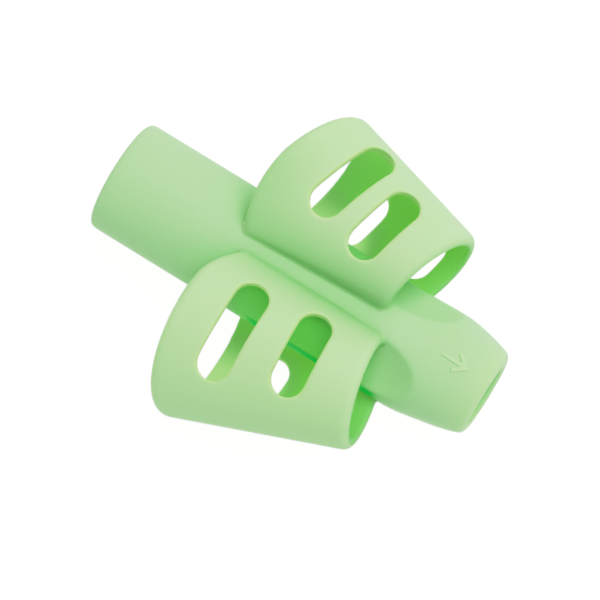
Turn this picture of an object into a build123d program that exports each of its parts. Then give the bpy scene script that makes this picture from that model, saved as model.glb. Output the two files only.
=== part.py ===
from build123d import *
from collections import namedtuple
import math
import os

os.makedirs("parts", exist_ok=True)

# Two-finger silicone pencil grip, in millimetres.
# X runs along the pencil bore to the writing end, Y to the thumb cuff, Z to the arrow side.
# The origin is on the bore axis, halfway along the barrel.

# Barrel
barrel_length = 44.8
barrel_radius = 6.2
bore_radius = 3.3
rear_edge_round = 0.6
mouth_round = 0.3
nose_length = 8.8
nose_drop = 1.5
nose_edge_round = 0.95

# Finger dishes pressed into the barrel beside the nose
dish_ball_radius = 15.0
dish_depth = 1.35
dish_setback = 12.25
dish_angle = 49.0
nose_roll = 5.5

# Raised arrow on top of the nose
arrow_length = 3.15
arrow_line_width = 0.45
arrow_barb_length = 1.9
arrow_barb_angle = 39.0
arrow_height = 0.15
arrow_setback = 2.55

# Finger cuffs, shared sizes; the middles of their rims stand off the barrel's side by an offset
cuff_wall = 1.3
cuff_outer_round = 0.6
cuff_inner_round = 0.25
cuff_rear_height = 0.7
cuff_front_height = 4.45
cuff_front_offset = 0.5
cuff_front_radius = 6.25
cuff_front_pitch = 7.8
web_height = 1.0

# Thumb cuff
thumb_rear_station = -6.25
thumb_rear_offset = 2.4
thumb_rear_radius = 9.85
thumb_rear_yaw = 16.0
thumb_rear_pitch = 11.0
thumb_front_station = 11.7
thumb_front_yaw = 18.0

# Index cuff
index_rear_station = -6.25
index_rear_offset = 3.15
index_rear_radius = 10.1
index_rear_yaw = 3.0
index_rear_pitch = 14.0
index_front_station = 12.5
index_front_yaw = 12.0

# Slots through the upper and the lower wall of each cuff
slot_width = 3.6
rear_slot_length = 10.8
front_slot_length = 9.0
under_rear_slot_length = 7.0
under_front_slot_length = 6.0

# Slot places along each cuff, as a share of its length from the rear rim
thumb_rear_slot_at = 0.409
thumb_front_slot_at = 0.705
thumb_under_rear_slot_at = 0.285
thumb_under_front_slot_at = 0.75
index_rear_slot_at = 0.302
index_front_slot_at = 0.676
index_under_rear_slot_at = 0.32
index_under_front_slot_at = 0.71

# Slot tilts round the cuff, outward from the top or the bottom of its wall
thumb_rear_slot_tilt = 16.9
thumb_front_slot_tilt = 5.6
thumb_under_rear_slot_tilt = 15.0
thumb_under_front_slot_tilt = 21.5
index_rear_slot_tilt = 3.0
index_front_slot_tilt = -0.8
index_under_rear_slot_tilt = 14.6
index_under_front_slot_tilt = 16.8

# Slot slants, with the outer end turned forward
thumb_slot_slant = 7.2
thumb_under_slot_slant = 12.5
index_rear_slot_slant = -7.5
index_front_slot_slant = -3.6
index_under_slot_slant = -8.5

half_length = barrel_length / 2
cut_reach = barrel_length

Slot = namedtuple("Slot", "at tilt slant length upward")
Cuff = namedtuple(
    "Cuff",
    "name side rear_station rear_offset rear_radius rear_yaw rear_pitch front_station front_yaw slots",
)

thumb = Cuff(
    "thumb", 1, thumb_rear_station, thumb_rear_offset, thumb_rear_radius, thumb_rear_yaw, thumb_rear_pitch,
    thumb_front_station, thumb_front_yaw,
    [
        Slot(thumb_rear_slot_at, thumb_rear_slot_tilt, thumb_slot_slant, rear_slot_length, 1),
        Slot(thumb_front_slot_at, thumb_front_slot_tilt, thumb_slot_slant, front_slot_length, 1),
        Slot(
            thumb_under_rear_slot_at, thumb_under_rear_slot_tilt, thumb_under_slot_slant,
            under_rear_slot_length, -1,
        ),
        Slot(
            thumb_under_front_slot_at, thumb_under_front_slot_tilt, thumb_under_slot_slant,
            under_front_slot_length, -1,
        ),
    ],
)
index = Cuff(
    "index", -1, index_rear_station, index_rear_offset, index_rear_radius, index_rear_yaw, index_rear_pitch,
    index_front_station, index_front_yaw,
    [
        Slot(index_rear_slot_at, index_rear_slot_tilt, index_rear_slot_slant, rear_slot_length, 1),
        Slot(index_front_slot_at, index_front_slot_tilt, index_front_slot_slant, front_slot_length, 1),
        Slot(
            index_under_rear_slot_at, index_under_rear_slot_tilt, index_under_slot_slant,
            under_rear_slot_length, -1,
        ),
        Slot(
            index_under_front_slot_at, index_under_front_slot_tilt, index_under_slot_slant,
            under_front_slot_length, -1,
        ),
    ],
)


def barrel_envelope(extra):
    """The barrel's outside as a solid of revolution, grown outward by extra."""
    outer = barrel_radius + extra
    tip = outer - nose_drop
    shoulder = half_length - nose_length
    outline = Curve() + [
        Line((-half_length, 0), (-half_length, outer)),
        Line((-half_length, outer), (shoulder, outer)),
        TangentArc((shoulder, outer), (half_length, tip), tangent=(1, 0)),
        Line((half_length, tip), (half_length, 0)),
        Line((half_length, 0), (-half_length, 0)),
    ]
    return revolve(make_face(outline), Axis.X)


def bar_along_x(radius, length):
    """A round bar on the bore axis, centred on the origin."""
    return Cylinder(radius, length, rotation=(0, 90, 0))


def dish_ball(angle):
    """The ball that presses one finger dish, at an angle from the top of the barrel."""
    distance = barrel_radius + dish_ball_radius - dish_depth
    turn = math.radians(angle)
    place = (half_length - dish_setback, distance * math.sin(turn), distance * math.cos(turn))
    return Pos(*place) * Sphere(dish_ball_radius)


def barrel():
    """The pencil tube with its tapered nose, rounded mouths and two finger dishes."""
    body = barrel_envelope(0) - bar_along_x(bore_radius, 2 * barrel_length)
    rings = body.edges().filter_by(GeomType.CIRCLE).group_by(Axis.X)
    rear_mouth, rear_edge = rings[0].sort_by(SortBy.RADIUS)
    nose_mouth, nose_edge = rings[-1].sort_by(SortBy.RADIUS)
    body = fillet(rear_edge, rear_edge_round)
    body = fillet(ring_like(body, nose_edge), nose_edge_round)
    body = fillet([ring_like(body, rear_mouth), ring_like(body, nose_mouth)], mouth_round)
    return body - dish_ball(nose_roll + dish_angle) - dish_ball(nose_roll - dish_angle)


def ring_like(body, ring):
    """The edge of the body that lies where the given round edge lay."""
    return body.edges().filter_by(GeomType.CIRCLE).sort_by_distance(ring.position_at(0))[0]


def direction_arrow():
    """A low raised arrow on the nose that points to the writing end."""
    tip_x = half_length - arrow_setback
    shaft = Pos(tip_x - arrow_length / 2, 0) * SlotOverall(arrow_length, arrow_line_width)
    half_line = arrow_line_width / 2
    barb = Pos(half_line - arrow_barb_length / 2, 0) * SlotOverall(arrow_barb_length, arrow_line_width)
    barb_tip = Pos(tip_x - half_line, 0)
    mark = shaft
    for angle in (arrow_barb_angle, -arrow_barb_angle):
        mark = mark + barb_tip * Rot(0, 0, angle) * barb
    prism = Rot(-nose_roll, 0, 0) * extrude(mark, barrel_radius + 2 * arrow_height)
    return prism & barrel_envelope(arrow_height) - barrel_envelope(0)


def cuff_centre(cuff, at):
    """A point on the cuff's axis, at a share of its length from the rear rim."""
    rear = Vector(cuff.rear_station, cuff.side * (barrel_radius + cuff.rear_offset), cuff_rear_height)
    front = Vector(cuff.front_station, cuff.side * (barrel_radius + cuff_front_offset), cuff_front_height)
    return rear + (front - rear) * at


def cuff_radius(cuff, at):
    """The cuff's outer radius at a share of its length."""
    return cuff.rear_radius + (cuff_front_radius - cuff.rear_radius) * at


def rim_direction(cuff, yaw, pitch):
    """The way a rim faces: forward, turned in towards the nose and tipped up."""
    level = math.cos(math.radians(pitch))
    inward = -cuff.side * math.sin(math.radians(yaw))
    return Vector(level * math.cos(math.radians(yaw)), level * inward, math.sin(math.radians(pitch)))


def cuff_cone(cuff, inset):
    """The tapered body between the cuff's two rims, inset from its outer surface."""
    toward_barrel = Vector(0, -cuff.side, 0)
    rings = []
    for at, yaw, pitch in ((0, cuff.rear_yaw, cuff.rear_pitch), (1, cuff.front_yaw, cuff_front_pitch)):
        facing = rim_direction(cuff, yaw, pitch)
        seam = toward_barrel - facing * toward_barrel.dot(facing)
        plane = Plane(origin=cuff_centre(cuff, at), x_dir=seam, z_dir=facing)
        rings.append(plane * Circle(cuff_radius(cuff, at) - inset))
    return loft(rings, ruled=True)


def cuff_shell(cuff):
    """The whole tapered ring with rounded rims, before it is fitted to the barrel."""
    shell = cuff_cone(cuff, 0) - cuff_cone(cuff, cuff_wall)
    rims = shell.edges().filter_by(GeomType.CIRCLE)
    front, rear = (rims.sort_by_distance(cuff_centre(cuff, at))[:2].sort_by(SortBy.RADIUS) for at in (1, 0))
    shell = fillet([rear[1], front[1]], cuff_outer_round)
    return fillet([ring_like(shell, rear[0]), ring_like(shell, front[0])], cuff_inner_round)


def slot_tool(cuff, slot):
    """A round-ended upright bar that cuts one slot through the cuff's upper or lower wall."""
    axis = (cuff_centre(cuff, 1) - cuff_centre(cuff, 0)).normalized()
    up = (Vector(0, 0, 1) - axis * axis.Z).normalized()
    out = up.cross(axis)
    out = out * math.copysign(1, out.Y * cuff.side)
    tilt = math.radians(slot.tilt)
    slant = math.radians(slot.slant)
    facing = up * slot.upward * math.cos(tilt) + out * math.sin(tilt)
    across = out * math.cos(tilt) - up * slot.upward * math.sin(tilt)
    along = across * math.cos(slant) + axis * math.sin(slant)
    level = Vector(along.X, along.Y, 0)
    radius = cuff_radius(cuff, slot.at)
    plane = Plane(origin=cuff_centre(cuff, slot.at) + facing * radius, x_dir=level, z_dir=(0, 0, 1))
    return extrude(plane * SlotOverall(slot.length * level.length, slot_width), radius, both=True)


def finger_cuff(cuff):
    """The slotted ring for one finger, ending a web's height short of the barrel."""
    ring = cuff_shell(cuff) - bar_along_x(barrel_radius + web_height, cut_reach)
    for slot in cuff.slots:
        ring = ring - slot_tool(cuff, slot)
    return ring


def cuff_webs(cuff):
    """The two feet that join one cuff to the barrel: the lower one, then the upper one."""
    sleeve = bar_along_x(barrel_radius + web_height, cut_reach) - bar_along_x(barrel_radius, 2 * cut_reach)
    feet = cuff_shell(cuff) & sleeve
    return feet.solids().sort_by(Axis.Z)


nodes = {"barrel": barrel(), "direction_arrow": direction_arrow()}
for cuff in (thumb, index):
    under_web, top_web = cuff_webs(cuff)
    nodes[cuff.name + "_cuff"] = finger_cuff(cuff)
    nodes[cuff.name + "_top_web"] = top_web
    nodes[cuff.name + "_under_web"] = under_web

for name, shape in nodes.items():
    export_step(shape, f"parts/{name}.step")
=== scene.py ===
"""The looks of a soft silicone pencil grip with two finger cuffs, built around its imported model."""

import logging
import math
from contextlib import contextmanager
from dataclasses import dataclass
from enum import Enum
from functools import cached_property, partial
from typing import Any, Callable, Iterator

import bmesh
import bpy
from mathutils import Matrix, Vector
from mathutils.bvhtree import BVHTree


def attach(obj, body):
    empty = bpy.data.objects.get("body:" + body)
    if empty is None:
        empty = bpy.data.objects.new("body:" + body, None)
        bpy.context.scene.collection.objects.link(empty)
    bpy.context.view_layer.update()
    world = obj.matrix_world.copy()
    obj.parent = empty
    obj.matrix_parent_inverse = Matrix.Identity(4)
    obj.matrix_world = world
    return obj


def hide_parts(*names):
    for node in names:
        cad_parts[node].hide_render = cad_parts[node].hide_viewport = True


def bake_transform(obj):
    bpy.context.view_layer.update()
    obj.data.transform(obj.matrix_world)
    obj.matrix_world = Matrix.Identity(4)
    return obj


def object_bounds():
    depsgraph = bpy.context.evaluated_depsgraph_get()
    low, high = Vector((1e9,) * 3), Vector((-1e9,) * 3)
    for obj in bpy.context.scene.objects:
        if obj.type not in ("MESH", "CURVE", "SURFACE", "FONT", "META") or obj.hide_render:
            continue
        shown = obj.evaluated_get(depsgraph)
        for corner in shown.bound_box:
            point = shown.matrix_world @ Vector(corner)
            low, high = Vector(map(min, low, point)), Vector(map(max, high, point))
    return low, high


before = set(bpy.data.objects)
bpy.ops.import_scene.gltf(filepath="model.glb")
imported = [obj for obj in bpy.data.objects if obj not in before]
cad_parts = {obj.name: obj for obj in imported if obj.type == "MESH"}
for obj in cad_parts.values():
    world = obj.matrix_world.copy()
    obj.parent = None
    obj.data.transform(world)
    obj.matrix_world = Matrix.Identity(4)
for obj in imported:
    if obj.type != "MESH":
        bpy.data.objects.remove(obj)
CAD_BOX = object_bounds()

LOG = logging.getLogger("pencil_grip")
MM = 0.001  # pieces are modelled in millimetres and settled in metres at the end
NEAR = 0.001  # a point this close to a plane, in millimetres, lies in it
BEVEL_STEPS = 6  # faces across a rounded edge, before the mesh is softened
RELAX = 0.5  # how far one relaxing pass moves a point towards its neighbours' middle


class Side(Enum):
    """The finger that a cuff is for, with the sign of its side along Y."""

    THUMB = 1
    INDEX = -1


class Wall(Enum):
    """The wall of a cuff that a slot goes through, with the sign of its side along Z."""

    UPPER = 1
    LOWER = -1


class Cut(Enum):
    """What a boolean does with its tool."""

    TAKE = "DIFFERENCE"
    ADD = "UNION"


class Element(Enum):
    """What is selected in an open mesh."""

    POINT = "VERT"
    EDGE = "EDGE"
    FACE = "FACE"


class Mark(Enum):
    """A value from 0 to 1 that is stored on each point of a piece and read by its material."""

    DEPTH = "depth"  # painted shade and glow: how deep in the bore or a finger space a point lies, less where the slots light it
    OPEN = "open"  # how freely light reaches a point: 1 at the nose and on walls that the slots light
    CREASE = "crease"  # painted shade: the dark band low on the barrel's side inside a cuff
    EDGE = "edge"  # how much light comes through a thin edge: 1 on the sides of the slots
    SHADE = "shade"  # how far a place turns away from the soft light


def clamp(value: float) -> float:
    """Keep a value between 0 and 1."""
    return min(1.0, max(0.0, value))


def linear(code: str) -> tuple[float, float, float, float]:
    """Turn an sRGB hex colour into linear RGBA.

    Args:
        code: The colour, as six hex digits.

    Returns:
        Red, green, blue and alpha, in linear light.
    """
    values = [int(code[i:i + 2], 16) / 255 for i in (0, 2, 4)]
    steps = [v / 12.92 if v <= 0.04045 else ((v + 0.055) / 1.055) ** 2.4 for v in values]
    return (*steps, 1.0)


def wake(obj: bpy.types.Object) -> None:
    """Make one object the only selected one, and the active one.

    Args:
        obj: The object.
    """
    bpy.ops.object.select_all(action="DESELECT")
    obj.select_set(True)
    bpy.context.view_layer.objects.active = obj


def fresh(name: str) -> bpy.types.Object:
    """Name the object that an operator has just added.

    Args:
        name: The name for the object and its mesh.

    Returns:
        The object.
    """
    obj = bpy.context.active_object
    obj.name = name
    obj.data.name = name
    return obj


@contextmanager
def editing(obj: bpy.types.Object, element: Element = Element.POINT) -> Iterator[None]:
    """Open an object in edit mode, with nothing selected.

    Args:
        obj: The mesh object.
        element: What is going to be selected in it.

    Returns:
        A context that closes the object again.
    """
    wake(obj)
    bpy.ops.object.mode_set(mode="EDIT")
    bpy.ops.mesh.select_mode(type=element.value)
    bpy.ops.mesh.select_all(action="DESELECT")
    yield
    bpy.ops.object.mode_set(mode="OBJECT")


def pick_points(obj: bpy.types.Object, test: Callable[[Vector], bool]) -> None:
    """Select the points of an open mesh that pass a test.

    Args:
        obj: The mesh object, in edit mode.
        test: The test of a point's place.
    """
    bpy.ops.mesh.select_all(action="DESELECT")
    mesh = bmesh.from_edit_mesh(obj.data)
    for vert in mesh.verts:
        vert.select = test(vert.co)
    mesh.select_flush_mode()
    bmesh.update_edit_mesh(obj.data)


def pick_faces(obj: bpy.types.Object, test: Callable[[Vector], bool]) -> None:
    """Select the faces of an open mesh that pass a test.

    Args:
        obj: The mesh object, in edit mode.
        test: The test of the place of a face's middle.
    """
    bpy.ops.mesh.select_all(action="DESELECT")
    mesh = bmesh.from_edit_mesh(obj.data)
    for face in mesh.faces:
        face.select = test(face.calc_center_median())
    mesh.select_flush_mode()
    bmesh.update_edit_mesh(obj.data)


def modify(obj: bpy.types.Object, kind: str, **settings: Any) -> None:
    """Add a modifier with its settings and apply it.

    Args:
        obj: The mesh object.
        kind: The modifier's type.
        settings: The modifier's settings.
    """
    wake(obj)
    modifier = obj.modifiers.new(kind.lower(), kind)
    for key, value in settings.items():
        setattr(modifier, key, value)
    bpy.ops.object.modifier_apply(modifier=modifier.name)


def carve(obj: bpy.types.Object, tool: bpy.types.Object, cut: Cut) -> None:
    """Take a tool out of a piece, or add it, and remove the tool."""
    modify(obj, "BOOLEAN", object=tool, operation=cut.value, solver="EXACT")
    bpy.data.objects.remove(tool)


def soften(obj: bpy.types.Object, grid: float, passes: int) -> None:
    """Give a piece the soft edges of moulded silicone: an even mesh, relaxed.

    Args:
        obj: The piece, closed.
        grid: The new mesh's spacing, in millimetres.
        passes: How often the mesh is relaxed.
    """
    modify(obj, "REMESH", mode="VOXEL", voxel_size=grid, adaptivity=0.0)
    modify(obj, "SMOOTH", factor=RELAX, iterations=passes)
    wake(obj)
    bpy.ops.object.shade_smooth()


def put(obj: bpy.types.Object, mark: Mark, value: Callable[[Vector], float]) -> None:
    """Store a mark on each point of a piece, worked out from the point's place and kept between 0 and 1."""
    layer = obj.data.attributes.new(mark.value, "FLOAT", "POINT")
    layer.data.foreach_set("value", [clamp(value(vert.co)) for vert in obj.data.vertices])


def settle(obj: bpy.types.Object) -> None:
    """Bring a piece from millimetres to metres, with its place in its mesh.

    Args:
        obj: The finished piece.
    """
    wake(obj)
    obj.scale = (MM, MM, MM)
    bpy.ops.object.transform_apply(location=True, rotation=True, scale=True)


def add_node(
    tree: bpy.types.NodeTree, kind: str, inputs: dict[str | int, Any] | None = None,
    out: str | int | None = 0, **settings: Any,
) -> bpy.types.NodeSocket | None:
    """Add a shader node with its settings, and set or link its inputs.

    Args:
        tree: The material's node tree.
        kind: The node's type, without its ShaderNode prefix.
        inputs: For each input, by name or number, a value or the socket that feeds it.
        out: The output that is wanted, by name or number, or None for a node without one.
        settings: The node's own settings.

    Returns:
        The output that is wanted.
    """
    node = tree.nodes.new("ShaderNode" + kind)
    for key, value in settings.items():
        setattr(node, key, value)
    for key, value in (inputs or {}).items():
        if isinstance(value, bpy.types.NodeSocket):
            tree.links.new(value, node.inputs[key])
        else:
            node.inputs[key].default_value = value
    return None if out is None else node.outputs[out]


@dataclass(frozen=True)
class MouldedSilicone:
    """Pigmented silicone rubber, injection moulded in a finely eroded steel mould.

    The eye sees a satin skin with no sharp glints, a faint grain and soft light that goes a little
    way into the walls. Painted into its colour are shade in nooks and a crease band, a deeper green
    with a painted glow where light arrives through the silicone, and paler glowing thin edges.
    """

    name: str
    # The face, clouded a little, and the painted shade that darkens it in nooks that light hardly reaches
    face: str = "B1DFA2"
    cloud: str = "ABDC9B"
    cloud_size: float = 9.0
    shade: str = "60AC5A"
    nook_size: float = 20.0
    nook: tuple[float, float] = (0.15, 1.0)
    # The finger spaces: their painted shade colour, and a painted glow for the light that seeps into them
    # through the walls and falls through the slots
    hollow_shade_colour: str = "6ABA56"
    inner: float = 0.4
    seep: str = "80CA48"
    seep_strength: float = 0.46
    lit_glow: float = 0.0
    # The painted shade band in a finger space, with a faint painted glow, and the painted light on the
    # slots' thin edges
    crease: str = "06B946"
    crease_glow: float = 0.2
    edge: str = "BDDB8C"
    edge_light_share: float = 0.55
    edge_glow: float = 0.13
    # The skin, with its fine grain drawn coarse enough to show, and the light just under it
    grain_size: float = 0.22
    grain_height: float = 0.004
    roughness: tuple[float, float] = (0.5, 0.6)
    ior: float = 1.41
    shine: float = 0.08
    glow: float = 0.3
    glow_reach: tuple[float, float, float] = (0.5, 0.9, 0.4)

    def material(self) -> bpy.types.Material:
        """Build the node material.

        Returns:
            The material, ready to be put on a piece.
        """
        made = bpy.data.materials.new(self.name)
        made.use_nodes = True
        made.node_tree.nodes.clear()
        node = partial(add_node, made.node_tree)
        colour, painted_glow, strength = self.colours(made.node_tree)
        grain = node("TexNoise", {
            "Vector": node("TexCoord", out="Object"), "Scale": 1 / (self.grain_size * MM),
            "Detail": 1.0, "Roughness": 0.5,
        }, "Fac")
        rough = node("MapRange", {"Value": grain, "To Min": self.roughness[0], "To Max": self.roughness[1]})
        bump = node("Bump", {"Height": grain, "Strength": 0.5, "Distance": self.grain_height * MM})
        # The emission is a painted glow: it lights the hollows, thin edges and crease band as if light came
        # through the silicone
        shader = node("BsdfPrincipled", {
            "Base Color": colour, "Roughness": rough, "Normal": bump,
            "IOR": self.ior, "Specular IOR Level": self.shine, "Subsurface Weight": self.glow,
            "Subsurface Radius": self.glow_reach, "Subsurface Scale": MM,
            "Emission Color": painted_glow, "Emission Strength": strength,
        })
        node("OutputMaterial", {"Surface": shader}, None)
        return made

    def colours(self, tree: bpy.types.NodeTree) -> tuple[bpy.types.NodeSocket, ...]:
        """Mix the silicone's colours: its clouded face, with painted shade in nooks, finger spaces and a
        crease band, and painted light on thin edges.

        Args:
            tree: The material's node tree.

        Returns:
            The colour, and the colour and the strength of the painted glow that stands in for light coming
            through the silicone.
        """
        node = partial(add_node, tree)
        free, inside, line, rim, turned = (
            node("Attribute", out="Fac", attribute_name=mark.value)
            for mark in (Mark.OPEN, Mark.DEPTH, Mark.CREASE, Mark.EDGE, Mark.SHADE)
        )
        cloud = node("TexNoise", {
            "Vector": node("TexCoord", out="Object"), "Scale": 1 / (self.cloud_size * MM),
            "Detail": 2.0, "Roughness": 0.4,
        }, "Fac")
        # Painted shade: the occlusion node darkens nooks, less where light reaches freely, and the shade
        # mark darkens places of its own
        nook = node("AmbientOcclusion", {"Distance": self.nook_size * MM}, "AO", samples=6)
        shut = node("MapRange", {
            "Value": nook, "From Min": self.nook[0], "From Max": self.nook[1], "To Min": 1.0, "To Max": 0.0,
        })
        barred = node("Math", {0: 1.0, 1: free}, operation="SUBTRACT")
        dim = node("Math", {0: shut, 1: barred}, operation="MULTIPLY")
        dim = node("Math", {0: dim, 1: turned}, operation="MAXIMUM")
        # Painted shade and glow in the bore and the finger spaces, strongest where nooks are shut
        depth = node("Math", {0: shut, 1: self.inner}, operation="MAXIMUM")
        depth = node("Math", {0: depth, 1: inside}, operation="MULTIPLY")
        # Painted light: a paler colour and a glow where light would come through thin edges
        thin = node("Math", {0: rim, 1: self.edge_light_share}, operation="MULTIPLY")
        # A colour mix takes its share at socket 0 and its colours at 6 and 7, and gives the result at 2
        colour = node("Mix", {0: cloud, 6: linear(self.face), 7: linear(self.cloud)}, 2, data_type="RGBA")
        for share, code in ((dim, self.shade), (depth, self.hollow_shade_colour), (thin, self.edge), (line, self.crease)):
            colour = node("Mix", {0: share, 6: colour, 7: linear(code)}, 2, data_type="RGBA")
        # Painted glow colour: the seep colour, paler on thin edges and greener in the crease band
        painted_glow = node("Mix", {0: rim, 6: linear(self.seep), 7: linear(self.edge)}, 2, data_type="RGBA")
        painted_glow = node("Mix", {0: line, 6: painted_glow, 7: linear(self.crease)}, 2, data_type="RGBA")
        strength = node("Math", {0: depth, 1: 2.0}, operation="POWER")
        strength = node("Math", {0: strength, 1: self.seep_strength}, operation="MULTIPLY")
        for share, glow in ((rim, self.edge_glow), (free, self.lit_glow)):
            light = node("Math", {0: share, 1: glow}, operation="MULTIPLY")
            strength = node("Math", {0: strength, 1: light}, operation="MAXIMUM")
        # In the painted shade band the other glow gives way to the band's own faint painted glow
        plain = node("Math", {0: 1.0, 1: line}, operation="SUBTRACT")
        strength = node("Math", {0: strength, 1: plain}, operation="MULTIPLY")
        light = node("Math", {0: line, 1: self.crease_glow}, operation="MULTIPLY")
        return colour, painted_glow, node("Math", {0: strength, 1: light}, operation="MAXIMUM")


@dataclass
class Barrel:
    """The tube that slides on the pencil, with its tapered nose and two finger dishes."""

    # The tube and its nose, which leans a little to the thumb's side
    length: float = 44.8
    radius: float = 6.2
    bore_radius: float = 3.3
    rear_round: float = 0.6
    mouth_round: float = 0.45
    nose_length: float = 8.8
    nose_drop: float = 1.5
    nose_round: float = 0.65
    nose_lean: float = 0.26
    lean_run: float = 4.4
    # The dishes, pressed by balls on both sides of the arrow; the roll turns all three together
    dish_ball: float = 15.0
    dish_depth: float = 1.35
    dish_setback: float = 12.25
    dish_angle: float = 49.0
    nose_roll: float = 5.5
    # The painted marks: shade in the bore, light through the thin tip, a dark shade band by its angles from
    # the top and its run along X, and the light that reaches the nose, which lessens the painted shade there
    bore_shade: float = 0.6
    tip_light: float = 0.28
    tip_run: float = 3.0
    band_start: float = 74.0
    band_stop: float = 98.0
    band_edge: float = 4.0
    band_run: tuple[float, float] = (-3.2, 13.2)
    band_fade: float = 1.0
    light_from: float = 9.0
    light_run: float = 3.0
    # The mesh
    sides: int = 160
    nose_rings: int = 9
    ball_sides: int = 128
    ring_reach: float = 0.05
    grid: float = 0.2
    passes: int = 14

    @property
    def end(self) -> float:
        """The nose's end along X; the rear end is as far the other way."""
        return self.length / 2

    @cached_property
    def dish_places(self) -> list[Vector]:
        """The middles of the two balls that press the finger dishes.

        Returns:
            The thumb's ball and the index finger's.
        """
        distance = self.radius + self.dish_ball - self.dish_depth
        turns = (math.radians(self.nose_roll + side.value * self.dish_angle) for side in Side)
        station = self.end - self.dish_setback
        return [Vector((station, distance * math.sin(turn), distance * math.cos(turn))) for turn in turns]

    def outline(self, station: float) -> float:
        """The tube's outer radius, which follows an arc along the nose.

        Args:
            station: A place along X.

        Returns:
            The radius there.
        """
        run = station - (self.end - self.nose_length)
        if run <= 0:
            return self.radius
        sweep = (self.nose_length ** 2 + self.nose_drop ** 2) / (2 * self.nose_drop)
        return self.radius - sweep + math.sqrt(sweep ** 2 - run ** 2)

    def lean(self, station: float) -> float:
        """How far the nose is set to the thumb's side at a place along X."""
        run = clamp((station - (self.end - self.nose_length)) / self.lean_run)
        return self.nose_lean * run * run * (3 - 2 * run)

    def rod(self, radius: float, length: float, station: float = 0.0) -> bpy.types.Object:
        """Add a round rod on the bore's axis.

        Args:
            radius: Its radius.
            length: Its length.
            station: Its middle along X.

        Returns:
            The rod.
        """
        bpy.ops.object.select_all(action="DESELECT")
        bpy.ops.mesh.primitive_cylinder_add(
            vertices=self.sides, radius=radius, depth=length, location=(station, 0, 0),
            rotation=(0, math.pi / 2, 0),
        )
        rod = fresh("rod")
        bpy.ops.object.transform_apply(location=True, rotation=True, scale=True)
        return rod

    def taper(self, tube: bpy.types.Object) -> None:
        """Cut rings round the nose and draw them in along its outline.

        Args:
            tube: The plain rod.
        """
        start = self.end - self.nose_length
        with editing(tube):
            step = self.nose_length / self.nose_rings
            stations = [start + step * ring for ring in range(self.nose_rings + 1)]
            for station in stations[:-1]:
                bpy.ops.mesh.select_all(action="SELECT")
                bpy.ops.mesh.bisect(plane_co=(station, 0, 0), plane_no=(1, 0, 0))
            for station in stations:
                pick_points(tube, lambda p, s=station: abs(p.x - s) < NEAR)
                share = self.outline(station) / self.radius
                bpy.ops.transform.resize(value=(1, share, share), center_override=(station, 0, 0))
                bpy.ops.transform.translate(value=(0, self.lean(station), 0))

    def drill(self, tube: bpy.types.Object) -> None:
        """Inset both ends to the bore and bridge the holes through the tube.

        Args:
            tube: The tapered rod.
        """
        for station in (-self.end, self.end):
            with editing(tube, Element.FACE):
                pick_faces(tube, lambda c, s=station: abs(c.x - s) < NEAR)
                bpy.ops.mesh.inset(thickness=self.outline(station) - self.bore_radius)
                bpy.ops.transform.translate(value=(0, -self.lean(station), 0))
                bpy.ops.mesh.delete(type="FACE")
        with editing(tube):
            limit = self.bore_radius + self.mouth_round
            pick_points(tube, lambda p: math.hypot(p.y, p.z) < limit)
            bpy.ops.mesh.bridge_edge_loops()

    def round_edges(self, tube: bpy.types.Object) -> None:
        """Round the rear edge, the nose's edge and both mouths of the bore.

        Args:
            tube: The drilled tube.
        """
        rear, nose = (-self.end, self.radius), (self.end, self.outline(self.end))
        mouths = ((-self.end, self.bore_radius), (self.end, self.bore_radius))
        jobs = [(*rear, 0.0, self.rear_round), (*nose, self.lean(self.end), self.nose_round)]
        jobs += [(*mouth, 0.0, self.mouth_round) for mouth in mouths]
        for station, radius, side, width in jobs:
            with editing(tube):
                pick_points(tube, lambda p, s=station, r=radius, y=side: (
                    max(abs(p.x - s), abs(math.hypot(p.y - y, p.z) - r)) < self.ring_reach
                ))
                bpy.ops.mesh.bevel(offset=width, segments=BEVEL_STEPS, affect="EDGES")

    def press_dishes(self, piece: bpy.types.Object, extra: float = 0.0) -> None:
        """Press both finger dishes into a piece.

        Args:
            piece: The piece.
            extra: How much deeper than the barrel's own dishes they are.
        """
        for place in self.dish_places:
            bpy.ops.object.select_all(action="DESELECT")
            bpy.ops.mesh.primitive_uv_sphere_add(
                segments=self.ball_sides, ring_count=self.ball_sides // 2,
                radius=self.dish_ball + extra, location=place,
            )
            carve(piece, fresh("dish_ball"), Cut.TAKE)

    def clearance(self, point: Vector) -> float:
        """How far a point stands clear of the tube's outside, dishes included; below 0 inside it."""
        gaps = (self.dish_ball - (point - place).length for place in self.dish_places)
        return max(math.hypot(point.y, point.z) - self.radius, *gaps)

    def build(self) -> bpy.types.Object:
        """Model the tube.

        Returns:
            The tube, in millimetres.
        """
        tube = self.rod(self.radius, self.length)
        tube.name = tube.data.name = "barrel_skin"
        self.taper(tube)
        self.drill(tube)
        self.press_dishes(tube)
        self.round_edges(tube)
        soften(tube, self.grid, self.passes)
        return tube

    def shade_band(self, point: Vector) -> float:
        """How far a point lies in the painted shade band low on the tube's outside, on the index finger's
        side.

        Args:
            point: A point of the tube.

        Returns:
            1 or more in the band, falling to 0 over its soft edges.
        """
        if math.hypot(point.y, point.z) < self.radius - self.dish_depth:
            return 0.0
        angle = math.degrees(math.atan2(-point.y, point.z))
        ends = (point.x - self.band_run[0], self.band_run[1] - point.x)
        sides = (angle - self.band_start, self.band_stop - angle)
        return min(*(gap / self.band_edge for gap in sides), *(gap / self.band_fade for gap in ends))

    def hollow_shade_share(self, point: Vector, cuffs: list["FingerCuff"]) -> float:
        """How much painted shade and glow a point of the tube gets for lying in the bore or in a cuff's
        finger space.
        """
        in_bore = math.hypot(point.y, point.z) < self.bore_radius + self.mouth_round / 2
        return max(self.bore_shade * in_bore, *(cuff.barrel_shade * cuff.within(point) for cuff in cuffs))

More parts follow.
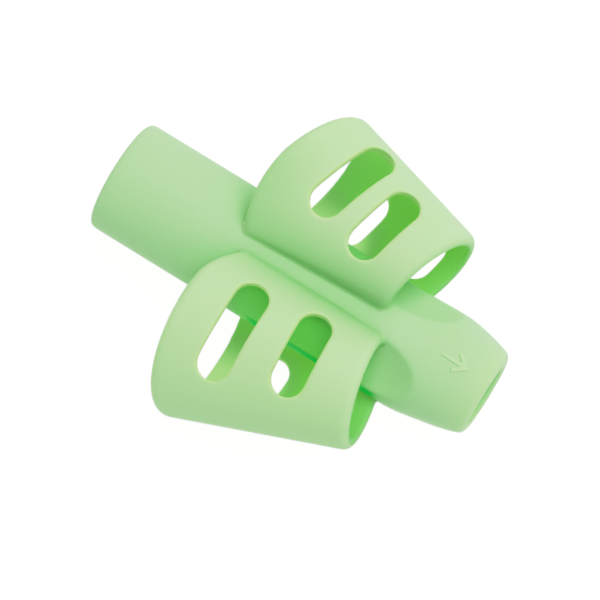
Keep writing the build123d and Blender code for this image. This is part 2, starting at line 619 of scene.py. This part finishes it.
    def paint_shade_and_light(self, tube: bpy.types.Object, cuffs: list["FingerCuff"]) -> None:
        """Mark the painted shade and glow in the tube's hollows, the painted light through its thin tip, the
        painted shade band low on its side and the light at the nose.

        Args:
            tube: The tube, in millimetres.
            cuffs: The cuffs on it.
        """
        put(tube, Mark.DEPTH, lambda p: self.hollow_shade_share(p, cuffs))
        put(tube, Mark.EDGE, lambda p: self.tip_light * (1 - (self.end - p.x) / self.tip_run))
        put(tube, Mark.CREASE, self.shade_band)
        put(tube, Mark.OPEN, lambda p: (p.x - self.light_from) / self.light_run)

    def dress(self, tube: bpy.types.Object, finish: bpy.types.Material) -> None:
        """Put the finish on the tube and seat it on its body.

        Args:
            tube: The tube, in millimetres.
            finish: Its material.
        """
        settle(tube)
        tube.data.materials.append(finish)
        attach(tube, "barrel")
        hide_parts("barrel")


@dataclass
class DirectionArrow:
    """The low raised arrow on the nose, which points to the writing end."""

    length: float = 3.15
    line_width: float = 0.45
    barb_length: float = 1.9
    barb_angle: float = 39.0
    height: float = 0.13
    sunk: float = 0.3
    setback: float = 2.55
    # The mesh
    line_cells: tuple[int, int] = (48, 6)
    grid: float = 0.05
    passes: int = 5

    def stroke(self, tip: float, length: float, angle: float, barrel: Barrel) -> bpy.types.Object:
        """One line of the arrow, a flat strip that runs back from the tip over the nose.

        Args:
            tip: The tip's place along X.
            length: The line's length.
            angle: How far the line is turned from the arrow's run, in degrees.
            barrel: The barrel that carries the arrow.

        Returns:
            The strip, lying above the nose.
        """
        bpy.ops.object.select_all(action="DESELECT")
        bpy.ops.mesh.primitive_grid_add(
            x_subdivisions=self.line_cells[0], y_subdivisions=self.line_cells[1], size=1,
        )
        strip = fresh("arrow_line")
        half = self.line_width / 2
        roll = Matrix.Rotation(-math.radians(barrel.nose_roll), 4, "X")
        pivot = Matrix.Translation((tip - half, 0, barrel.radius))
        turn = Matrix.Rotation(math.radians(angle), 4, "Z")
        middle = Matrix.Translation((half - length / 2, 0, 0))
        size = Matrix.Diagonal((length, self.line_width, 1, 1))
        strip.matrix_world = roll @ pivot @ turn @ middle @ size
        wake(strip)
        bpy.ops.object.transform_apply(location=True, rotation=True, scale=True)
        return strip

    def build(self, barrel: Barrel, tube: bpy.types.Object) -> bpy.types.Object:
        """Model the arrow on the nose.

        Args:
            barrel: The barrel's sizes.
            tube: The barrel's finished mesh, in millimetres.

        Returns:
            The arrow, in millimetres.
        """
        tip = barrel.end - self.setback
        barbs = [(self.barb_length, angle) for angle in (self.barb_angle, -self.barb_angle)]
        lines = [(self.length, 0.0), *barbs]
        strips = [self.stroke(tip, length, angle, barrel) for length, angle in lines]
        for strip in strips:
            modify(
                strip, "SHRINKWRAP", target=tube, wrap_method="PROJECT", use_project_z=True,
                use_negative_direction=True, use_positive_direction=False, offset=self.height,
            )
            modify(strip, "SOLIDIFY", thickness=self.height + self.sunk, offset=-1.0)
        wake(strips[0])
        for strip in strips:
            strip.select_set(True)
        bpy.ops.object.join()
        arrow = fresh("direction_arrow_skin")
        soften(arrow, self.grid, self.passes)
        return arrow

    def dress(self, arrow: bpy.types.Object, finish: bpy.types.Material) -> None:
        """Put the finish on the arrow and seat it on the barrel's body.

        Args:
            arrow: The arrow, in millimetres.
            finish: Its material.
        """
        settle(arrow)
        arrow.data.materials.append(finish)
        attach(arrow, "barrel")
        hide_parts("direction_arrow")


@dataclass(frozen=True)
class Rim:
    """One end of a cuff: a ring beside the barrel, turned in and tipped up."""

    station: float
    reach: float
    height: float
    radius: float
    yaw: float
    pitch: float

    def centre(self, side: Side) -> Vector:
        """The ring's middle."""
        return Vector((self.station, side.value * self.reach, self.height))

    def turn(self, side: Side) -> Matrix:
        """The ring's own axes.

        Args:
            side: The side of the barrel that the cuff is on.

        Returns:
            The axes as columns: towards the barrel, up or down, and the way the ring faces.
        """
        yaw, level = math.radians(self.yaw), math.cos(math.radians(self.pitch))
        facing = Vector((
            level * math.cos(yaw), -side.value * level * math.sin(yaw), math.sin(math.radians(self.pitch)),
        ))
        inward = Vector((0, -side.value, 0))
        seam = (inward - facing * inward.dot(facing)).normalized()
        return Matrix((seam, facing.cross(seam), facing)).transposed()


@dataclass(frozen=True)
class Slot:
    """One slot: its wall, its share of the cuff's length from the rear, outward tilt, slant and length."""

    wall: Wall
    at: float
    tilt: float
    slant: float
    length: float


@dataclass
class FingerCuff:
    """A tapered, slotted ring for one finger, moulded on to the barrel's side."""

    side: Side
    rear: Rim
    front: Rim
    slots: tuple[Slot, ...]
    # How far the rear rim is drawn forward at its upper foot, and the angles where that starts and ends
    draw: float
    draw_start: float
    foot_angle: float = 38.0
    draw_power: float = 1.5
    # The wall, its edges and its slots
    wall: float = 1.3
    rim_round: float = 0.95
    lip_round: float = 0.3
    sharp_angle: float = 50.0
    slot_width: float = 3.55
    slot_depth: float = 13.0
    # The feet: how far their core lies under the barrel's face, and where they are cut off
    root_sink: float = 0.08
    root_trim: float = 0.045
    # The mesh
    sides: int = 144
    rings: int = 40
    slot_sides: int = 96
    grid: float = 0.15
    passes: int = 26
    # The finger space: how strong its painted shade is on the barrel, the run over which it fades in, and
    # the share of the wall past which a point is on the inner face
    barrel_shade: float = 1.0
    fade: float = 3.0
    inner_from: float = 0.5
    # The shade on the outer face at the rear, from a place along X and Y and over a run along each
    rear_shade: float = 0.0
    shade_from: tuple[float, float] = (-1.0, 13.0)
    shade_run: tuple[float, float] = (6.0, 5.0)
    # The inner wall that the slots light, by shares of the cuff's radius and of its length
    pale_from: float = 0.3
    pale_run: float = 0.45
    pale_end: float = 0.55
    pale_fade: float = 0.15
    pale_glow: float = 0.5
    # The shade on the inner wall at the front mouth, by shares of the cuff's length
    mouth_shade: float = 0.0
    mouth_from: float = 0.7
    mouth_run: float = 0.2
    mouth_loss: float = 0.4
    # The painted light on the slots' thin edges, by shares of the wall, clear of the rims by a share of the
    # cuff's length
    edge_lead: float = 0.15
    edge_tail: float = 0.3
    rim_share: float = 0.1
    # A way out from the bore, and a start and an end along it
    flex_way: tuple[float, float] = (0.938, 0.347)
    flex_start: float = 4.0
    flex_end: float = 10.0

    @property
    def name(self) -> str:
        """The cuff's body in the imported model."""
        return self.side.name.lower() + "_cuff"

    @cached_property
    def ends(self) -> tuple[Vector, Vector]:
        """The middles of the rear and the front rim."""
        return self.rear.centre(self.side), self.front.centre(self.side)

    @cached_property
    def facings(self) -> tuple[Vector, ...]:
        """The ways that the rear and the front rim face."""
        return tuple(rim.turn(self.side).col[2].copy() for rim in (self.rear, self.front))

    @cached_property
    def run(self) -> Vector:
        """The cuff's axis, from the rear rim's middle to the front one's."""
        return self.ends[1] - self.ends[0]

    def along(self, point: Vector) -> float:
        """A point's share of the cuff's length from the rear rim."""
        return (point - self.ends[0]).dot(self.run) / self.run.length_squared

    def arm(self, point: Vector, share: float) -> Vector:
        """The way to a point from the cuff's axis at a share of its length."""
        return point - self.ends[0] - self.run * share

    def radius_at(self, share: float) -> float:
        """The cuff's outer radius at a share of its length."""
        return self.rear.radius + (self.front.radius - self.rear.radius) * share

    def add_rim(self, rim: Rim) -> None:
        """Add one rim as a ring of edges."""
        bpy.ops.mesh.primitive_circle_add(
            vertices=self.sides, radius=rim.radius, fill_type="NOTHING",
            location=rim.centre(self.side), rotation=rim.turn(self.side).to_euler(),
        )

    def tube(self) -> bpy.types.Object:
        """Model the cuff's outer face: its two rims, bridged.

        Returns:
            The open tube, with no wall.
        """
        bpy.ops.object.select_all(action="DESELECT")
        self.add_rim(self.rear)
        cuff = fresh(self.name + "_skin")
        bpy.ops.object.transform_apply(location=True, rotation=True, scale=True)
        self.draw_in(cuff)
        with editing(cuff):
            self.add_rim(self.front)
            bpy.ops.mesh.select_all(action="SELECT")
            bpy.ops.mesh.bridge_edge_loops(number_cuts=self.rings, interpolation="LINEAR")
            bpy.ops.mesh.select_all(action="SELECT")
            bpy.ops.mesh.normals_make_consistent(inside=False)
        return cuff

    def draw_in(self, ring: bpy.types.Object) -> None:
        """Draw the rear rim forward towards its upper foot, where the moulding runs off the barrel.

        Args:
            ring: The rear rim.
        """
        turn, centre = self.rear.turn(self.side), self.ends[0]
        up = turn.col[1] * math.copysign(1, turn.col[1].z)
        for vert in ring.data.vertices:
            arm = vert.co - centre
            angle = math.degrees(math.atan2(arm.dot(up), arm.dot(turn.col[0])))
            share = (self.draw_start - angle) / (self.draw_start - self.foot_angle)
            if 0 < angle and 0 < share:
                vert.co += turn.col[2] * self.draw * min(share, angle / self.foot_angle) ** self.draw_power

    def round_rims(self, cuff: bpy.types.Object, skin: BVHTree) -> None:
        """Round both rims, first their outer edges and then the sharp inner ones that are left.

        Args:
            cuff: The open tube with its wall.
            skin: The tube's outer face.
        """
        for width, reach in ((self.rim_round, self.wall / 2), (self.lip_round, math.inf)):
            with editing(cuff, Element.EDGE):
                bpy.ops.mesh.edges_select_sharp(sharpness=math.radians(self.sharp_angle))
                mesh = bmesh.from_edit_mesh(cuff.data)
                for edge in mesh.edges:
                    edge.select = edge.select and all(skin.find_nearest(v.co)[3] < reach for v in edge.verts)
                bmesh.update_edit_mesh(cuff.data)
                bpy.ops.mesh.bevel(offset=width, segments=BEVEL_STEPS, affect="EDGES")

    def slot_tool(self, slot: Slot) -> bpy.types.Object:
        """Model the round-ended bar, upright as the mould is drawn, that cuts one slot through a wall.

        Args:
            slot: The slot.

        Returns:
            The bar, in its place.
        """
        axis = self.run.normalized()
        up = (Vector((0, 0, 1)) - axis * axis.z).normalized()
        out = up.cross(axis)
        out *= math.copysign(1, out.y * self.side.value)
        tilt, slant = math.radians(slot.tilt), math.radians(slot.slant)
        across = out * math.cos(tilt) - up * slot.wall.value * math.sin(tilt)
        along = across * math.cos(slant) + axis * math.sin(slant)
        level = Vector((along.x, along.y, 0))
        place = self.ends[0].lerp(self.ends[1], slot.at)
        place += (up * slot.wall.value * math.cos(tilt) + out * math.sin(tilt)) * self.radius_at(slot.at)
        bpy.ops.object.select_all(action="DESELECT")
        bpy.ops.mesh.primitive_cylinder_add(
            vertices=self.slot_sides, radius=self.slot_width / 2, depth=self.slot_depth,
        )
        tool = fresh("slot_tool")
        half = (slot.length * level.length - self.slot_width) / 2
        with editing(tool):
            for way in (1, -1):
                pick_points(tool, lambda p, w=way: w * p.x > NEAR)
                bpy.ops.transform.translate(value=(way * half, 0, 0))
        tool.matrix_world = Matrix.Translation(place) @ Matrix.Rotation(math.atan2(level.y, level.x), 4, "Z")
        wake(tool)
        bpy.ops.object.transform_apply(location=True, rotation=True, scale=True)
        return tool

    def root(self, cuff: bpy.types.Object, barrel: Barrel) -> None:
        """Melt the cuff's feet into the barrel: keep their fillets and drop the rest below the face.

        Args:
            cuff: The slotted cuff.
            barrel: The barrel that it stands on.
        """
        middle = (self.rear.station + self.front.station) / 2
        length = self.front.station - self.rear.station + 2 * self.rear.radius
        core = barrel.rod(barrel.radius - self.root_sink, length, middle)
        barrel.press_dishes(core, self.root_sink)
        carve(cuff, core, Cut.ADD)
        soften(cuff, self.grid, self.passes)
        with editing(cuff, Element.FACE):
            pick_faces(cuff, lambda c: barrel.clearance(c) < -self.root_trim)
            bpy.ops.mesh.delete(type="FACE")
            bpy.ops.mesh.select_mode(type=Element.EDGE.value)
            bpy.ops.mesh.select_all(action="DESELECT")
            bpy.ops.mesh.select_non_manifold(use_wire=False, use_multi_face=False, use_verts=False)
            bpy.ops.mesh.fill_holes(sides=0)

    def build(self, barrel: Barrel) -> bpy.types.Object:
        """Model the cuff and mark it for its finish.

        Args:
            barrel: The barrel that it stands on.

        Returns:
            The cuff, in millimetres.
        """
        cuff = self.tube()
        skin = BVHTree.FromObject(cuff, bpy.context.evaluated_depsgraph_get())
        modify(cuff, "SOLIDIFY", thickness=self.wall, offset=-1.0)
        self.round_rims(cuff, skin)
        for slot in self.slots:
            carve(cuff, self.slot_tool(slot), Cut.TAKE)
        self.root(cuff, barrel)
        self.paint_shade_and_light(cuff, skin, barrel)
        return cuff

    def within(self, point: Vector) -> float:
        """How far a point lies inside the cuff's finger space.

        Args:
            point: The point.

        Returns:
            0 at the rims and the outer face, or outside them, to 1 well inside.
        """
        share = self.along(point)
        gaps = (
            (point - self.ends[0]).dot(self.facings[0]),
            (self.ends[1] - point).dot(self.facings[1]),
            self.radius_at(share) - self.arm(point, share).length,
        )
        return clamp(min(gaps) / self.fade)

    def lit(self, point: Vector) -> float:
        """How much light through the slots falls on the inner wall.

        Most falls to the rear, on the side that faces the key light.

        Args:
            point: A point of the cuff.

        Returns:
            0 where none falls, to 1.
        """
        share = clamp(self.along(point))
        aside = self.arm(point, share).y / self.radius_at(share)
        pale = clamp((self.pale_from - aside) / self.pale_run)
        return pale * clamp((self.pale_end - share) / self.pale_fade)

    def mouth(self, point: Vector) -> float:
        """How shaded the inner wall is at the front mouth."""
        return self.mouth_shade * clamp((clamp(self.along(point)) - self.mouth_from) / self.mouth_run)

    def tail(self, point: Vector) -> float:
        """How shaded the outer face is at the rear."""
        places = zip((point.x, point.y), self.shade_from, self.shade_run)
        return self.rear_shade * math.prod(clamp((start - place) / run) for place, start, run in places)

    def paint_shade_and_light(self, cuff: bpy.types.Object, skin: BVHTree, barrel: Barrel) -> None:
        """Mark the painted shade and glow on the cuff's inside, the painted light on the walls that the
        slots light, its painted shade at the rear and the mouth, and the painted light on the slots' edges.

        Args:
            cuff: The cuff, in millimetres.
            skin: The cuff's outer face.
            barrel: The barrel that it stands on.
        """
        def sunk(point: Vector) -> float:
            """How deep in the wall a point lies: 0 on the outer face, 1 on the inner one."""
            face, normal, _, _ = skin.find_nearest(point)
            return clamp((face - point).dot(normal) / self.wall)

        def thin(point: Vector) -> float:
            """How much light comes through at a point.

            Args:
                point: A point of the cuff.

            Returns:
                1 on the slots' sides, and less on a lit inner wall, to 0.
            """
            share, depth = clamp(self.along(point)), sunk(point)
            clear = min(share, 1 - share) > self.rim_share and barrel.clearance(point) > self.wall
            edge = clear * min(1.0, depth / self.edge_lead, (1 - depth) / self.edge_tail)
            return max(edge, self.pale_glow * depth * self.lit(point))

        # Painted shade and glow inside, painted light where the slots light the wall, painted shade at the
        # rear and mouth, and painted light on the slots' edges
        put(cuff, Mark.DEPTH, lambda p: sunk(p) * (1 - self.lit(p)) * (1 - self.mouth_loss * self.mouth(p)))
        put(cuff, Mark.OPEN, lambda p: sunk(p) * self.lit(p))
        put(cuff, Mark.SHADE, lambda p: self.tail(p) if sunk(p) < self.inner_from else self.mouth(p))
        put(cuff, Mark.EDGE, thin)

    def dress(self, cuff: bpy.types.Object, finish: bpy.types.Material) -> None:
        """Put the finish on the cuff, bring its place into its mesh and hide the imported cuff and its webs.

        Args:
            cuff: The cuff, in millimetres.
            finish: Its material.
        """
        settle(cuff)
        cuff.data.materials.append(finish)
        self.name
        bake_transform(cuff)
        finger = self.side.name.lower()
        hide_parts(self.name, finger + "_top_web", finger + "_under_web")


@dataclass
class Studio:
    """The pale floor, the soft light and the camera."""

    floor_size: float = 4.0
    floor_hex: str = "595958"
    floor_roughness: float = 0.9
    floor_glow: float = 1.27
    glow_hex: str = "FDFDFC"
    sky: float = 0.47
    key_way: tuple[float, float, float] = (0.19, 0.28, 0.94)
    key_distance: float = 0.8
    key_power: float = 6.0
    key_hex: str = "FFFFF9"
    key_size: float = 0.6
    camera_at: tuple[float, float, float] = (55.5, -71.3, 440.9)
    camera_right: tuple[float, float, float] = (0.8463, 0.5323, -0.0209)
    camera_up: tuple[float, float, float] = (-0.5186, 0.8321, 0.1963)
    sensor: float = 36.0
    lens: float = 259.9
    shoulder: tuple[tuple[float, float], ...] = (
        (0.3, 0.3), (0.6, 0.6), (0.95, 0.757), (1.1, 0.83), (1.3, 1.0),
    )

    def floor(self, height: float) -> None:
        """Lay a pale light table under the grip, lit from within so that the shadows on it stay faint.

        Args:
            height: The floor's place along Z, in metres.
        """
        bpy.ops.object.select_all(action="DESELECT")
        bpy.ops.mesh.primitive_plane_add(size=self.floor_size, location=(0, 0, height))
        ground = fresh("floor")
        made = bpy.data.materials.new("pale_studio_floor")
        made.use_nodes = True
        shader = made.node_tree.nodes["Principled BSDF"]
        shader.inputs["Base Color"].default_value = linear(self.floor_hex)
        shader.inputs["Roughness"].default_value = self.floor_roughness
        shader.inputs["Emission Color"].default_value = linear(self.glow_hex)
        shader.inputs["Emission Strength"].default_value = self.floor_glow
        ground.data.materials.append(made)

    def light(self) -> None:
        """Set an even sky and one large soft key from the thumb cuff's side."""
        world = bpy.data.worlds.new("studio_sky")
        world.use_nodes = True
        background = world.node_tree.nodes["Background"]
        background.inputs["Color"].default_value = (1, 1, 1, 1)
        background.inputs["Strength"].default_value = self.sky
        bpy.context.scene.world = world
        way = Vector(self.key_way).normalized()
        bpy.ops.object.light_add(type="AREA", location=way * self.key_distance)
        key = bpy.context.active_object
        key.name = "key_light"
        key.rotation_euler = way.to_track_quat("Z", "Y").to_euler()
        key.data.shape = "DISK"
        key.data.size = self.key_size
        key.data.energy = self.key_power
        key.data.color = linear(self.key_hex)[:3]

    def camera(self) -> None:
        """Set a long lens above the grip, at the photograph's angle."""
        right, up = Vector(self.camera_right), Vector(self.camera_up)
        turn = Matrix((right, up, right.cross(up))).transposed().to_4x4()
        bpy.ops.object.camera_add()
        camera = bpy.context.active_object
        camera.matrix_world = Matrix.Translation(Vector(self.camera_at) * MM) @ turn
        camera.data.sensor_width = self.sensor
        camera.data.lens = self.lens
        bpy.context.scene.camera = camera

    def develop(self) -> None:
        """Give the picture a camera's soft shoulder, so that bright faces pale before they reach white."""
        view = bpy.context.scene.view_settings
        view.view_transform = "Standard"
        view.use_curve_mapping = True
        mapping = view.curve_mapping
        mapping.clip_max_x = self.shoulder[-1][0]
        tone = mapping.curves[3]  # the curve for all three colours together
        tone.points[-1].location = self.shoulder[-1]
        for point in self.shoulder[:-1]:
            tone.points.new(*point)
        mapping.update()

    def build(self, height: float) -> None:
        """Set the stage round the grip.

        Args:
            height: The floor's place along Z, in metres.
        """
        self.floor(height)
        self.light()
        self.camera()
        self.develop()


# The cuffs' lit_glow is a painted glow on the inner walls that the slots light
CUFF_FINISH = MouldedSilicone("moulded_silicone", lit_glow=0.27)
# The barrel's copy of the silicone is a little darker and cooler than the cuffs': painted shade
BARREL_FINISH = MouldedSilicone(
    "barrel_silicone", face="A9D8A1", cloud="A3D597", hollow_shade_colour="56B854", seep="6CC84A",
    nook_size=14.0, nook=(0.1, 0.93),
)
# The arrow's face is a little lighter than the barrel's, as painted light on the raised strokes, and it
# takes no painted nook shade
ARROW_FINISH = MouldedSilicone("raised_silicone", face="AEDFA0", cloud="AADD9A", nook=(-1.0, 0.0))

THUMB = FingerCuff(
    side=Side.THUMB,
    rear=Rim(station=-6.25, reach=8.6, height=0.7, radius=9.85, yaw=16.0, pitch=11.0),
    front=Rim(station=11.7, reach=6.7, height=4.45, radius=6.25, yaw=18.0, pitch=7.8),
    slots=(
        Slot(Wall.UPPER, at=0.409, tilt=16.9, slant=7.2, length=10.6),
        Slot(Wall.UPPER, at=0.705, tilt=5.6, slant=7.2, length=8.8),
        Slot(Wall.LOWER, at=0.285, tilt=15.0, slant=12.5, length=7.0),
        Slot(Wall.LOWER, at=0.75, tilt=21.5, slant=12.5, length=6.0),
    ),
    draw=2.0,
    draw_start=100.0,
    barrel_shade=0.55,
    rear_shade=0.25,
    pale_from=0.4,
)
INDEX = FingerCuff(
    side=Side.INDEX,
    rear=Rim(station=-6.27, reach=9.35, height=0.7, radius=10.1, yaw=3.0, pitch=14.0),
    front=Rim(station=12.5, reach=6.7, height=4.45, radius=6.15, yaw=12.0, pitch=7.8),
    slots=(
        Slot(Wall.UPPER, at=0.302, tilt=3.0, slant=-7.5, length=10.95),
        Slot(Wall.UPPER, at=0.676, tilt=-0.8, slant=-3.6, length=9.2),
        Slot(Wall.LOWER, at=0.32, tilt=14.6, slant=-8.5, length=7.0),
        Slot(Wall.LOWER, at=0.71, tilt=16.8, slant=-8.5, length=6.0),
    ),
    draw=1.55,
    draw_start=69.0,
    mouth_shade=0.7,
)


def main() -> None:
    """Build the grip's pieces, dress them, and set the studio round them."""
    logging.basicConfig(level=logging.INFO, format="%(message)s")
    barrel, arrow = Barrel(), DirectionArrow()
    tube = barrel.build()
    pointer = arrow.build(barrel, tube)
    cuffs = [(cuff, cuff.build(barrel)) for cuff in (THUMB, INDEX)]
    barrel.paint_shade_and_light(tube, [cuff for cuff, _ in cuffs])
    barrel.dress(tube, BARREL_FINISH.material())
    arrow.dress(pointer, ARROW_FINISH.material())
    cuff_finish = CUFF_FINISH.material()
    for cuff, shape in cuffs:
        cuff.dress(shape, cuff_finish)
    for obj in (tube, pointer, *(shape for _, shape in cuffs)):
        LOG.info("%s: %d faces", obj.name, len(obj.data.polygons))
    Studio().build(CAD_BOX[0].z)


if __name__ == "__main__":
    main()
